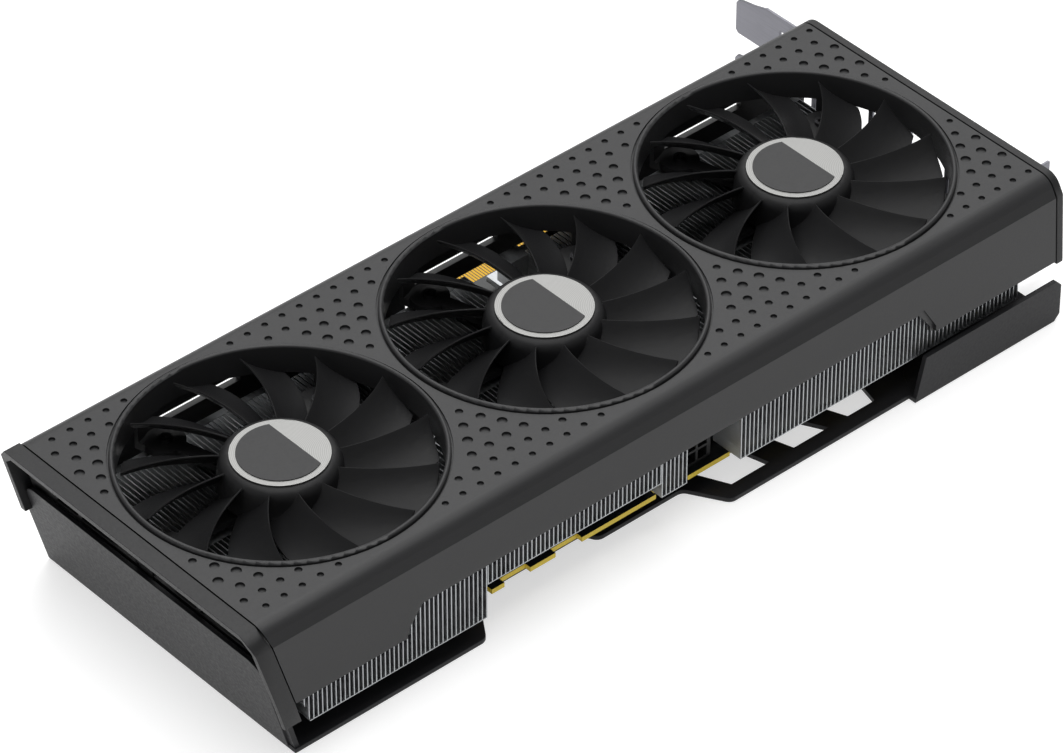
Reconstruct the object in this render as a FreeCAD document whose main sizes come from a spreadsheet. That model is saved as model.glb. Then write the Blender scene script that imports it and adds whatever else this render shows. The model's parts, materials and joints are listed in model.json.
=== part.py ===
import FreeCAD, Part
import math
import os
import re

import Sketcher
from FreeCAD import Placement, Rotation, Vector

# A triple-fan graphics card, lying on its backplate with the fans up.
# X runs along the card from the metal input/output bracket (-X) to the tail (+X).
# Y runs from the edge connector side (-Y) to the power socket side (+Y).
# The origin is at the centre of the card's bounding box, on its underside.

SIZES = {
    # cover
    "cover_start": -141.0,
    "face_top": 50.2,
    "lip_top": 51.1,
    "socket_shoulder": 64.57,
    "socket_wall_top": 67.75,
    "socket_wall_foot": 69.2,
    "slot_shoulder": -37.1,
    "slot_wall_top": -40.3,
    "slot_wall_foot": -41.0,
    "shoulder_height": 44.7,
    "skirt_foot": 22.6,
    "slot_skirt_foot": 18.0,
    "wall_slot_foot": 28.7,
    "wall_slot_top": 31.4,
    "wall_slot_start": -28.0,
    "wall_slot_end": 5.0,
    "cover_wall": 2.0,
    "shoulder_round": 5.6,
    "side_cut_start": -87.0,
    "side_cut_end": 97.6,
    "side_cut_top": 30.8,
    "side_cut_slant": 4.7,
    "side_step": 1.5,
    "side_step_face": 68.1,
    "slot_notch_start": -60.0,
    "slot_notch_end": 12.0,
    "seam": 0.3,
    "cap_seam": 0.5,
    "cap_wall": 2.4,
    "cap_foot": 21.4,
    # tail end, which leans in towards the underside
    "tail_foot": 140.0,
    "tail_lean": 0.2722,
    "band_inset": 3.2,
    "band_reach": 2.29,
    "band_facet": 5.0,
    "band_foot": 15.4,
    "band_slot_foot": 23.2,
    "end_plate_top": 34.2,
    "end_plate_start": -41.5,
    "end_plate_waist": 21.0,
    "end_plate_end": 62.1,
    "end_plate_corner": 4.7,
    "frame_depth": 2.0,
    "frame_relief": 0.4,
    "tail_vent_first": 9.8,
    "tail_vent_last": 19,
    "frame_recess": 2.3,
    "tail_slot_low": 34.6,
    "tail_slot_high": 42.0,
    "tail_slot_slant": 5.8,
    "tail_rib": 1.8,
    "tail_rib_pitch": 25.3,
    "tail_rib_first": -16.6,
    # fans
    "fan_row_y": 13.1,
    "fan_centre_x": 5.3,
    "fan_pitch": 95.4,
    "opening_radius": 44.8,
    "lip_width": 1.5,
    "lip_groove": 0.6,
    "lip_groove_depth": 0.6,
    "duct_foot": 41.8,
    "hub_top": 50.0,
    "hub_foot": 39.6,
    "hub_radius": 16.9,
    "hub_wall": 1.5,
    "hub_roof": 1.8,
    "blade_tip_radius": 43.2,
    "blade_thickness": 0.9,
    "badge_radius": 14.0,
    "badge_thickness": 0.5,
    "disc_radius": 12.1,
    "disc_thickness": 0.25,
    "disc_flat": 5.2,
    "yoke_wall": 0.7,
    "magnet_wall": 1.3,
    "magnet_gap": 0.4,
    "shaft_radius": 1.5,
    "bearing_clearance": 0.03,
    "bearing_radius": 3.0,
    "bearing_top": 45.0,
    "tube_radius": 4.2,
    "stator_foot": 38.6,
    "stator_top": 44.4,
    "mount_foot": 34.3,
    "mount_thickness": 2.0,
    "mount_radius": 15.5,
    "arm_width": 4.2,
    "arm_reach": 38.0,
    "lug_radius": 5.8,
    "ear_thickness": 2.6,
    "ear_width": 6.0,
    "screw_hole": 1.05,
    # dimples in the face
    "dimple_pitch": 6.22,
    "dimple_row": 5.32,
    "dimple_first_row": 45.3,
    "dimple_depth": 0.7,
    "dimple_clear": 47.95,
    "dimple_margin": 1.9,
    # cooler
    "fin_top": 33.4,
    "fin_thickness": 0.35,
    "fin_pitch": 1.56,
    "fin_slot_side": -27.9,
    "fin_socket_side": 65.8,
    "tail_fin_foot": 9.6,
    "tail_fin_start": 72.8,
    "tail_fin_end": 137.4,
    "tail_fin_recess": 7.2,
    "centre_fin_foot": 21.3,
    "centre_fin_start": 9.1,
    "step_fin_foot": 16.1,
    "step_fin_start": -0.6,
    "bracket_fin_foot": 20.2,
    "bracket_fin_lip": 13.3,
    "bracket_fin_start": -129.5,
    "bracket_fin_end": -20.9,
    "pipe_radius": 3.0,
    "pipe_high": 26.7,
    "pipe_low": 16.3,
    "pipe_first_y": -16.0,
    "pipe_spacing": 12.0,
    "plate_foot": 10.2,
    "cold_plate_thickness": 3.0,
    "cold_plate_size": 66.0,
    # board
    "board_foot": 6.3,
    "board_thickness": 1.6,
    "board_start": -143.0,
    "board_end": 66.0,
    "board_slot_side": -47.4,
    "board_socket_side": 54.5,
    "board_tab_side": 56.6,
    "edge_start": -98.0,
    "edge_length": 85.0,
    "edge_depth": 8.2,
    "key_offset": 11.6,
    "key_width": 1.9,
    "chip_x": -50.0,
    "chip_y": 4.0,
    "socket_start": -20.4,
    "socket_width": 18.8,
    # bracket
    "bracket_face": -145.2,
    "bracket_thickness": 0.9,
    "bracket_low": 3.5,
    "bracket_width": 38.74,
    "bracket_foot": -56.8,
    "tongue_tip": -69.2,
    "tongue_foot": 3.2,
    "tongue_width": 12.2,
    "slot_pitch": 20.32,
    "tab_top": 50.82,
    "tab_length": 10.7,
    "tab_end": 40.8,
    "notch_width": 4.4,
    # backplate
    "backplate_thickness": 1.5,
    "backplate_slot_side": -50.0,
    "backplate_rail": 66.6,
    "flange_height": 14.7,
    "flange_corner": 2.0,
}

FANS = ("tail", "middle", "bracket")
BLADES = 13
PIPES = 5
DIMPLE_RADII = (0.98, 1.12, 1.35, 1.5, 1.4, 1.15, 0.95)
ARMS = 5
FIRST_ARM = -73.4
DISPLAY_PORTS = (-28.5, -8.5, 30.5)
DISPLAY_PORT_WIDTH = 16.4
VIDEO_PORT = 11
VIDEO_PORT_WIDTH = 14.6

doc = FreeCAD.newDocument("graphics_card")
sheet = doc.addObject("Spreadsheet::Sheet", "Sizes")
for line, (alias, amount) in enumerate(SIZES.items(), start=1):
    sheet.set(f"A{line}", alias)
    sheet.set(f"B{line}", str(amount))
    sheet.setAlias(f"B{line}", alias)
doc.recompute()

WORDS = re.compile(r"\b(" + "|".join(sorted(SIZES, key=len, reverse=True)) + r")\b")
ROTATIONS = {
    "XY": Rotation(),
    "YZ": Rotation(Vector(1, 1, 1), 120),
    "XZ": Rotation(Vector(1, 0, 0), 90),
}
parts = {}


# ---------------------------------------------------------------- helpers


def cells(formula):
    """The formula with each size's word turned into a reference to its cell."""
    return WORDS.sub(r"Sizes.\1", str(formula))


def number(formula):
    """What the formula comes to, as a plain number."""
    return float(sheet.evalExpression(cells(formula)))


def put(thing, x="0", y="0", z="0"):
    """Place an object at three formulas."""
    for axis, formula in zip("xyz", (x, y, z)):
        thing.setExpression(f"Placement.Base.{axis}", cells(formula))
    return thing


def box(name, x, y, z):
    """A block between three (low, high) pairs of formulas."""
    block = doc.addObject("Part::Box", name)
    for side, (low, high) in zip(("Length", "Width", "Height"), (x, y, z)):
        block.setExpression(side, cells(f"({high}) - ({low})"))
    return put(block, x[0], y[0], z[0])


def round_bar(name, x, y, z, radius, inner=None):
    """An upright cylinder at x, y between the (low, high) pair z, hollow where inner is given."""
    bar = doc.addObject("Part::Cylinder", name)
    bar.setExpression("Radius", cells(radius))
    bar.setExpression("Height", cells(f"({z[1]}) - ({z[0]})"))
    put(bar, x, y, z[0])
    if inner is None:
        return bar
    return cut(name + "_ring", bar, round_bar(name + "_bore", x, y, (f"{z[0]} - 1", f"{z[1]} + 1"), inner))


def outline(name, plane, corners):
    """A closed sketch through corners, each held by two distances bound to the sheet."""
    sketch = doc.addObject("Sketcher::SketchObject", name)
    sketch.Placement = Placement(Vector(), ROTATIONS[plane])
    points = [Vector(number(across), number(up), 0) for across, up in corners]
    for start, end in zip(points, points[1:] + points[:1]):
        sketch.addGeometry(Part.LineSegment(start, end), False)
    for edge in range(len(points)):
        sketch.addConstraint(Sketcher.Constraint("Coincident", edge, 2, (edge + 1) % len(points), 1))
    for edge, corner in enumerate(corners):
        for kind, formula in zip(("DistanceX", "DistanceY"), corner):
            index = sketch.addConstraint(Sketcher.Constraint(kind, edge, 1, number(formula)))
            sketch.setExpression(f"Constraints[{index}]", cells(formula))
    return sketch


def prism(name, plane, corners, low, high):
    """An outline drawn in a plane and extruded across it from low to high."""
    sketch = outline(name + "_outline", plane, corners)
    axis, start = {"XY": ("z", low), "YZ": ("x", low), "XZ": ("y", high)}[plane]
    sketch.setExpression(f"Placement.Base.{axis}", cells(start))
    solid = doc.addObject("Part::Extrusion", name)
    solid.Base = sketch
    solid.DirMode = "Normal"
    solid.Solid = True
    solid.setExpression("LengthFwd", cells(f"({high}) - ({low})"))
    return solid


def fuse(name, *pieces):
    """One solid from pieces that touch or overlap."""
    if len(pieces) == 1:
        return pieces[0]
    joined = doc.addObject("Part::MultiFuse", name)
    joined.Shapes = list(pieces)
    joined.Refine = True
    return joined


def group(name, *pieces):
    """Separate solids that share one node."""
    together = doc.addObject("Part::Compound", name)
    together.Links = list(pieces)
    return together


def cut(name, base, *tools):
    """The base with every tool taken away."""
    result = doc.addObject("Part::Cut", name)
    result.Base = base
    result.Tool = tools[0] if len(tools) == 1 else group(name + "_tools", *tools)
    return result


def rounded(name, base, radius, chosen):
    """The base with every edge that the test chooses rounded."""
    doc.recompute()
    result = doc.addObject("Part::Fillet", name)
    result.Base = base
    size = number(radius)
    edges = [n for n, edge in enumerate(base.Shape.Edges, start=1) if chosen(edge)]
    assert edges, name
    result.Edges = [(n, size, size) for n in edges]
    return result


def shape(name, solid):
    """An object for a form that no primitive or sketch gives."""
    thing = doc.addObject("Part::Feature", name)
    thing.Shape = solid
    return thing


def upright(edge):
    """True for a straight edge along Z."""
    ends = [v.Point for v in edge.Vertexes]
    return len(ends) == 2 and math.hypot(ends[0].x - ends[1].x, ends[0].y - ends[1].y) < 1e-6


def lengthwise(edge):
    """True for a straight edge along X."""
    ends = [v.Point for v in edge.Vertexes]
    return len(ends) == 2 and math.hypot(ends[0].y - ends[1].y, ends[0].z - ends[1].z) < 1e-6


def node(name, thing):
    """Name a finished sub-part."""
    thing.Label = name
    parts[name] = thing


def fan_x(fan):
    """The formula for a fan's centre along the card."""
    return {
        "tail": "fan_centre_x + fan_pitch",
        "middle": "fan_centre_x",
        "bracket": "fan_centre_x - fan_pitch",
    }[fan]


def leaning(offset, height):
    """Where the leaning tail plane, moved along X by offset, is at a height."""
    return f"tail_foot + ({offset}) + tail_lean * ({height})"


def screw(name, x, y, head, shank, head_radius="1.9", shank_radius="0.95"):
    """A screw along Z: a head and a shank, each a (low, high) pair, with a hexagonal recess."""
    cap = round_bar(name + "_head", x, y, head, head_radius)
    stem = round_bar(name + "_stem", x, y, shank, shank_radius)
    solid = fuse(name + "_blank", cap, stem)
    key = doc.addObject("Part::Prism", name + "_key")
    key.Polygon = 6
    key.Circumradius = 0.95
    key.Height = 1.4
    upward = number(head[0]) > number(shank[0])
    put(key, x, y, f"{head[1]} - 0.7" if upward else f"{head[0]} - 0.7")
    return cut(name, solid, key)


def arm_turn(arm):
    """Which way a fan arm points."""
    return Rotation(Vector(0, 0, 1), FIRST_ARM + 360 / ARMS * arm)


def lug_place(x, y, arm):
    """The formulas for the centre of a fan arm's screw lug."""
    out = arm_turn(arm).multVec(Vector(1, 0, 0))
    return f"{x} + ({out.x:.5f}) * arm_reach", f"{y} + ({out.y:.5f}) * arm_reach"


def radial_block(name, x, y, arm, span, width, z):
    """A block that lies along a fan arm, between two distances from the fan's axis."""
    turn = arm_turn(arm)
    out = turn.multVec(Vector(1, 0, 0))
    side = turn.multVec(Vector(0, -1, 0))
    block = doc.addObject("Part::Box", name)
    block.setExpression("Length", cells(f"({span[1]}) - ({span[0]})"))
    block.setExpression("Width", cells(width))
    block.setExpression("Height", cells(f"({z[1]}) - ({z[0]})"))
    block.Placement = Placement(Vector(), turn)
    corner_x = f"{x} + ({out.x:.5f}) * ({span[0]}) + ({side.x:.5f}) * ({width}) / 2"
    corner_y = f"{y} + ({out.y:.5f}) * ({span[0]}) + ({side.y:.5f}) * ({width}) / 2"
    return put(block, corner_x, corner_y, z[0])


# ---------------------------------------------------------------- cover


def cover_section(inset):
    """The cover's cross-section, drawn inside the outer skin by inset."""
    return [
        (f"slot_wall_foot + {inset}", "skirt_foot - 30"),
        (f"slot_wall_foot + {inset}", "skirt_foot"),
        (f"slot_wall_top + {inset}", "shoulder_height"),
        (f"slot_shoulder + 0.6 * {inset}", f"face_top - {inset}"),
        (f"socket_shoulder - 0.6 * {inset}", f"face_top - {inset}"),
        (f"socket_wall_top - {inset}", "shoulder_height"),
        (f"socket_wall_foot - {inset}", "skirt_foot"),
        (f"socket_wall_foot - {inset}", "skirt_foot - 30"),
    ]


def beyond_tail(name, offset):
    """A block that fills everything past the leaning tail plane moved by offset."""
    corners = [
        (leaning(offset, "-20"), "-20"),
        ("tail_foot + 60", "-20"),
        ("tail_foot + 60", "80"),
        (leaning(offset, "80"), "80"),
    ]
    return prism(name, "XZ", corners, "-90", "90")


def before_tail(name, offset):
    """A block that fills everything short of the leaning tail plane moved by offset."""
    corners = [
        ("cover_start - 60", "-20"),
        (leaning(offset, "-20"), "-20"),
        (leaning(offset, "80"), "80"),
        ("cover_start - 60", "80"),
    ]
    return prism(name, "XZ", corners, "-90", "90")


def below(name, height):
    """A block that fills everything under a height."""
    return box(name, ("-170", "170"), ("-90", "90"), ("-40", height))


def on_shoulder(edge):
    """True for the two long top edges of the cover's blank."""
    return lengthwise(edge) and abs(edge.Vertexes[0].Point.z - number("face_top")) < 1e-6


def dimple_tool():
    """Blind recesses on two triangular grids, one centred on each gap between two openings."""
    tools = []
    middle, pitch = number("fan_centre_x"), number("dimple_pitch")
    centres = [number(fan_x(fan)) for fan in FANS]
    clearance, floor = number("dimple_clear"), number("face_top - dimple_depth")
    first = number("cover_start + dimple_margin")
    last = number(leaning("-band_inset - dimple_margin", "face_top"))
    for row, radius in enumerate(DIMPLE_RADII):
        offset = number(f"dimple_first_row - dimple_row * {row}")
        for side in (-1, 1):
            for step in range(-16, 17):
                x = middle + side * (number("fan_pitch") / 2 + (step + 0.5 * ((row + 1) % 2)) * pitch)
                clear = all(math.hypot(x - centre, offset) > clearance for centre in centres)
                if first < x < last and (x - middle) * side > 0 and clear:
                    for y in (number("fan_row_y") - offset, number("fan_row_y") + offset):
                        tools.append(Part.makeCylinder(radius, 2, Vector(x, y, floor)))
    return shape("dimple_tool", Part.makeCompound(tools))


def cover():
    """The moulded cover: a face with three lipped openings, two long walls, posts for the fans."""
    blank = prism("cover_blank", "YZ", cover_section("0"), "cover_start", "tail_foot + 20")
    blank = rounded("cover_shoulders", blank, "shoulder_round", on_shoulder)
    inside = prism("cover_inside", "YZ", cover_section("cover_wall"), "cover_start - 1", "tail_foot + 21")
    side_cut = prism(
        "cover_side_cut",
        "XZ",
        [
            ("side_cut_start - side_cut_slant", "skirt_foot - 10"),
            ("side_cut_start - side_cut_slant", "skirt_foot + 2"),
            ("side_cut_start", "side_cut_top"),
            ("side_cut_end", "side_cut_top"),
            ("side_cut_end + side_cut_slant", "skirt_foot + 2"),
            ("side_cut_end + side_cut_slant", "skirt_foot - 10"),
        ],
        "fan_row_y",
        "90",
    )
    past_tail = beyond_tail("cover_tail", "-band_inset - seam")
    shell = cut("cover_shell", blank, inside, side_cut, past_tail)
    low = box("cover_low", ("-170", "170"), ("fan_row_y", "90"), ("-40", "skirt_foot"))
    notch_x = ("slot_notch_start", "slot_notch_end")
    notch = box("cover_slot_notch", notch_x, ("-60", "-30"), ("-40", "skirt_foot"))
    step = prism(
        "cover_side_step",
        "XZ",
        [
            ("side_cut_start - side_cut_slant - side_step", "skirt_foot - 10"),
            ("side_cut_start - side_cut_slant - side_step", "skirt_foot + 2"),
            ("side_cut_start - side_step", "side_cut_top + side_step"),
            ("side_cut_end + side_step", "side_cut_top + side_step"),
            ("side_cut_end + side_cut_slant + side_step", "skirt_foot + 2"),
            ("side_cut_end + side_cut_slant + side_step", "skirt_foot - 10"),
        ],
        "side_step_face",
        "90",
    )
    slots = [
        box(f"{fan}_wall_slot", (f"{fan_x(fan)} + wall_slot_start", f"{fan_x(fan)} + wall_slot_end"),
            ("-60", "-30"), ("wall_slot_foot", "wall_slot_top"))
        for fan in FANS
    ]
    shell = cut("cover_skin", shell, below("cover_slot_low", "slot_skirt_foot"), low, notch, step, *slots)
    solids = [shell]
    bores, grooves = [], []
    for fan in FANS:
        x = fan_x(fan)
        reach = "opening_radius + lip_width"
        groove = (f"{fan}_lip_groove", x, "fan_row_y", ("face_top - lip_groove_depth", "60"))
        grooves.append(round_bar(*groove, f"{reach} + lip_groove", reach))
        solids.append(round_bar(f"{fan}_duct", x, "fan_row_y", ("duct_foot", "lip_top - lip_width / 2"), reach))
        bead = doc.addObject("Part::Torus", f"{fan}_lip")
        bead.setExpression("Radius1", cells("opening_radius + lip_width / 2"))
        bead.setExpression("Radius2", cells("lip_width / 2"))
        solids.append(put(bead, x, "fan_row_y", "lip_top - lip_width / 2"))
        bores.append(round_bar(f"{fan}_bore", x, "fan_row_y", ("0", "60"), "opening_radius"))
    grooved = cut("cover_grooved", solids[0], *grooves)
    solid = cut("cover_bored", fuse("cover_joined", grooved, *solids[1:]), *bores)
    ears = [ear for fan in FANS for ear in fan_ears(fan)]
    holes = [
        round_bar(f"{fan}_ear_hole_{arm}", *lug_place(fan_x(fan), "fan_row_y", arm), ("30", "60"), "screw_hole")
        for fan in FANS
        for arm in range(ARMS)
    ]
    return cut("cover_finished", fuse("cover_eared", solid, *ears), dimple_tool(), *holes)


def fan_ears(fan):
    """The ears inside one opening that the fan's lugs are screwed down on."""
    x, outer = fan_x(fan), "opening_radius + lip_width"
    deck = "mount_foot + mount_thickness"
    ears = []
    for arm in range(ARMS):
        span = ("arm_reach - lug_radius + 0.4", outer)
        shelf = (f"{deck} - ear_thickness", deck)
        ears.append(radial_block(f"{fan}_ear_{arm}", x, "fan_row_y", arm, span, "ear_width", shelf))
        wall = ("opening_radius + 0.1", outer)
        rise = (deck, "duct_foot + 1")
        ears.append(radial_block(f"{fan}_leg_{arm}", x, "fan_row_y", arm, wall, "ear_width", rise))
    return ears


def tail_band():
    """The trim collar around the tail end, with a flat facet on each shoulder."""
    corners = [
        ("slot_wall_foot", "band_foot - 1"),
        ("slot_wall_foot", "band_slot_foot"),
        ("slot_wall_top + 0.4", "shoulder_height + 2"),
        ("slot_shoulder", "face_top - 0.2"),
        ("socket_wall_top - band_facet", "face_top - 0.2"),
        ("socket_wall_top", "shoulder_height"),
        ("socket_wall_foot", "skirt_foot"),
        ("socket_wall_foot", "band_foot"),
        ("socket_wall_foot - 1", "band_foot - 1"),
    ]
    inner = [
        ("slot_wall_foot + cover_wall", "band_foot - 2"),
        ("slot_wall_foot + cover_wall", "band_slot_foot"),
        ("slot_wall_top + cover_wall", "shoulder_height"),
        ("slot_shoulder + cover_wall", "face_top - 2.6"),
        ("socket_wall_top - band_facet", "face_top - 2.6"),
        ("socket_wall_top - cover_wall", "shoulder_height"),
        ("socket_wall_foot - cover_wall", "skirt_foot"),
        ("socket_wall_foot - cover_wall", "band_foot - 2"),
    ]
    blank = prism("band_blank", "YZ", corners, "100", "170")
    inside = prism("band_inside", "YZ", inner, "99", "171")
    under = box("band_under", ("99", "171"), ("-60", "fan_row_y"), ("0", "band_slot_foot"))
    trims = (beyond_tail("band_outer", "band_reach"), before_tail("band_inner", "-band_inset"))
    return cut("band_cut", blank, inside, under, *trims)


def end_cap():
    """The trim frame at the bracket end, with the cover's section and a narrow seam beside it."""
    span = ("bracket_face + bracket_thickness + 0.3", "cover_start - cap_seam")
    square = prism("end_cap_blank", "YZ", cover_section("0"), *span)
    blank = rounded("end_cap_round", square, "shoulder_round", on_shoulder)
    inside = prism("end_cap_inside", "YZ", cover_section("cap_wall"), f"{span[0]} - 1", f"{span[1]} + 1")
    feet = (
        below("end_cap_slot_foot", "slot_skirt_foot"),
        box("end_cap_socket_foot", ("-170", "170"), ("fan_row_y", "90"), ("-40", "cap_foot")),
    )
    return cut("end_cap_cut", blank, inside, *feet)


def tail_frame():
    """The black frame behind the tail band, with a row of slanted vents above the end plate."""
    corners = [
        ("slot_wall_foot + cover_wall + 0.8", "skirt_foot + 2"),
        ("socket_wall_top - cover_wall - 3.4", "skirt_foot + 2"),
        ("socket_wall_top - cover_wall - 3.4", "face_top - cover_wall - 0.9"),
        ("slot_shoulder + cover_wall + 0.6", "face_top - cover_wall - 0.9"),
        ("slot_wall_top + cover_wall + 0.8", "shoulder_height - 1"),
    ]
    slab = prism("tail_frame_slab", "YZ", corners, "100", "170")
    vents = []
    ends = [("tail_rib_first - tail_vent_first", "tail_rib_first - tail_rib / 2")]
    for rib in range(3):
        start = f"tail_rib_first + {rib} * tail_rib_pitch + tail_rib / 2"
        ends.append((start, f"{start} + tail_rib_pitch - tail_rib" if rib < 2 else f"{start} + tail_vent_last"))
    for place, (near, far) in enumerate(ends):
        vent = [
            (near, "tail_slot_low"),
            (far, "tail_slot_low"),
            (f"{far} + tail_slot_slant", "tail_slot_high"),
            (f"{near} + tail_slot_slant", "tail_slot_high"),
        ]
        vents.append(prism(f"tail_vent_{place}", "YZ", vent, "99", "171"))
    outer = beyond_tail("tail_frame_outer", "-frame_recess")
    inner = before_tail("tail_frame_inner", "-frame_recess - frame_depth")
    x, clear = fan_x("tail"), "opening_radius + lip_width + frame_relief"
    duct = round_bar("tail_duct_relief", x, "fan_row_y", ("duct_foot - frame_relief", "60"), clear)
    rise = ("mount_foot - 1 - frame_relief", "duct_foot + 1 + frame_relief")
    leg = radial_block("tail_leg_relief", x, "fan_row_y", 1, ("0", clear), "ear_width + 2 * frame_relief", rise)
    return cut("tail_frame_cut", slab, outer, inner, duct, leg, *vents)


# ---------------------------------------------------------------- fans


def blade():
    """One swept blade, lofted through four sections from the hub to the tip."""
    first = number("hub_radius") - 0.9
    last = number("blade_tip_radius") + 1
    half = number("blade_thickness") / 2
    stations = []
    for part, lead, chord, top, height in (
        (0.0, 0.0, 32.0, 49.0, 8.6),
        (0.35, 3.4, 23.5, 49.3, 8.4),
        (0.72, 7.8, 19.0, 49.4, 7.4),
        (1.0, 11.8, 14.0, 49.3, 6.0),
    ):
        radius = first + part * (last - first)
        width = math.radians(chord) * radius
        angle = math.radians(lead)
        out = Vector(math.cos(angle), math.sin(angle), 0)
        back = Vector(math.sin(angle), -math.cos(angle), 0)
        centre = out * radius
        upper = centre + Vector(0, 0, top)
        lower = centre + back * width + Vector(0, 0, top - height)
        bow = (upper + lower) * 0.5 + Vector(0, 0, -0.12 * width) - back * 0.05 * width
        along = (lower - upper).normalize()
        side = out.cross(along).normalize() * half
        above = Part.Arc(upper + side * 0.55, bow + side, lower + side * 0.45).toShape()
        nose = Part.makeLine(lower + side * 0.45, lower - side * 0.45)
        under = Part.Arc(lower - side * 0.45, bow - side, upper - side * 0.55).toShape()
        heel = Part.makeLine(upper - side * 0.55, upper + side * 0.55)
        stations.append(Part.Wire([above, nose, under, heel]))
    return Part.makeLoft(stations, True, False)


def impeller_shape():
    """The moulded rotor about the Z axis: a hollow hub and its ring of blades."""
    top, foot = number("hub_top"), number("hub_foot")
    radius = number("hub_radius")
    roof, wall = number("hub_roof"), number("hub_wall")
    profile = [
        Vector(0, 0, top - roof),
        Vector(radius - wall, 0, top - roof),
        Vector(radius - wall, 0, foot),
        Vector(radius + 0.9, 0, foot),
        Vector(radius + 0.2, 0, top - 3.0),
        Vector(radius - 0.2, 0, top - 1.7),
        Vector(radius - 0.9, 0, top - 0.7),
        Vector(radius - 1.8, 0, top - 0.15),
        Vector(radius - 2.6, 0, top),
        Vector(0, 0, top),
        Vector(0, 0, top - roof),
    ]
    hub = Part.Face(Part.makePolygon(profile)).revolve(Vector(), Vector(0, 0, 1), 360)
    swept = blade()
    core = Part.makeCylinder(radius - 0.5, 20, Vector(0, 0, foot - 5))
    reach = Part.makeCylinder(number("blade_tip_radius"), 20, Vector(0, 0, foot - 5))
    swept = swept.common(reach.cut(core))
    blades = []
    for count in range(BLADES):
        turned = swept.copy()
        turned.rotate(Vector(), Vector(0, 0, 1), 360 * count / BLADES + 12.5)
        blades.append(turned)
    return hub.fuse(blades).removeSplitter()


def fan(name):
    """One fan: the turning rotor, its motor, and the mount that holds it to the cover."""
    x, y = fan_x(name), "fan_row_y"
    impeller = shape(f"{name}_impeller_solid", impeller_shape())
    put(impeller, x, y)
    node(f"fan_{name}_impeller", impeller)

    badge_top = "hub_top + badge_thickness"
    badge = round_bar(f"{name}_badge_solid", x, y, ("hub_top", badge_top), "badge_radius")
    node(f"fan_{name}_badge_ring", badge)
    disc = round_bar(f"{name}_disc_round", x, y, (badge_top, f"{badge_top} + disc_thickness"), "disc_radius")
    edge_x = (f"{x} - 20", f"{x} - disc_flat")
    edge = box(f"{name}_disc_edge", edge_x, ("-20", "40"), ("hub_top", "hub_top + 3"))
    node(f"fan_{name}_badge_disc", cut(f"{name}_disc_cut", disc, edge))

    yoke_outer = "hub_radius - hub_wall"
    yoke_inner = f"{yoke_outer} - yoke_wall"
    roof = "hub_top - hub_roof"
    shell = round_bar(f"{name}_yoke_wall", x, y, ("hub_foot + 0.6", roof), yoke_outer, yoke_inner)
    lid = round_bar(f"{name}_yoke_lid", x, y, (f"{roof} - yoke_wall", roof), yoke_outer, "shaft_radius")
    node(f"fan_{name}_yoke", fuse(f"{name}_yoke_solid", shell, lid))
    magnet_inner = f"{yoke_inner} - magnet_wall"
    magnet = round_bar(
        f"{name}_magnet_solid", x, y, ("hub_foot + 0.9", f"{roof} - yoke_wall"), yoke_inner, magnet_inner
    )
    node(f"fan_{name}_magnet", magnet)
    shaft = round_bar(f"{name}_shaft_solid", x, y, ("mount_foot + mount_thickness + 0.5", roof), "shaft_radius")
    node(f"fan_{name}_shaft", shaft)

    floor = "mount_foot + mount_thickness"
    bearing = round_bar(
        f"{name}_bearing_solid", x, y, (floor, "bearing_top"),
        "bearing_radius", "shaft_radius + bearing_clearance",
    )
    node(f"fan_{name}_bearing", bearing)
    node(f"fan_{name}_stator", stator(name, x, y, f"{magnet_inner} - magnet_gap"))
    node(f"fan_{name}_mount", mount(name, x, y, floor))


def turned_block(name, size, start, turn, place):
    """A block that points out from a place, its near end start mm away, turned about Z by so many degrees."""
    length, width, height = size
    x, y, z = place
    block = doc.addObject("Part::Box", name)
    block.setExpression("Length", cells(length))
    block.setExpression("Width", str(width))
    block.setExpression("Height", cells(height))
    spin = Rotation(Vector(0, 0, 1), turn)
    base = spin.multVec(Vector(start, -width / 2, 0))
    block.Placement = Placement(Vector(), spin)
    return put(block, f"{x} + ({base.x:.4f})", f"{y} + ({base.y:.4f})", z)


def stator(name, x, y, reach):
    """The wound core: a ring on the bearing tube, four poles with broad shoes, and their coils."""
    ring = round_bar(f"{name}_stator_ring", x, y, ("stator_foot", "stator_top"), "tube_radius + 2", "tube_radius")
    shoes = round_bar(f"{name}_stator_shoes", x, y, ("stator_foot", "stator_top"), reach, f"{reach} - 1.4")
    high, tube = "stator_top - stator_foot", number("tube_radius")
    solids, gaps = [ring], []
    for pole in range(4):
        arm = (f"{reach} - tube_radius - 1.2", 3.4, high)
        coil = (f"{reach} - tube_radius - 4.4", 6.4, f"{high} - 1")
        solids.append(turned_block(f"{name}_pole_{pole}", arm, tube + 0.6, 90 * pole, (x, y, "stator_foot")))
        coil_foot = (x, y, "stator_foot + 0.5")
        solids.append(turned_block(f"{name}_coil_{pole}", coil, tube + 2.4, 90 * pole, coil_foot))
        gap = ("30", 2.6, "30")
        gaps.append(turned_block(f"{name}_gap_{pole}", gap, 0, 90 * pole + 45, (x, y, "stator_foot - 5")))
    return fuse(f"{name}_stator_solid", *solids, cut(f"{name}_shoes_split", shoes, *gaps))


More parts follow.
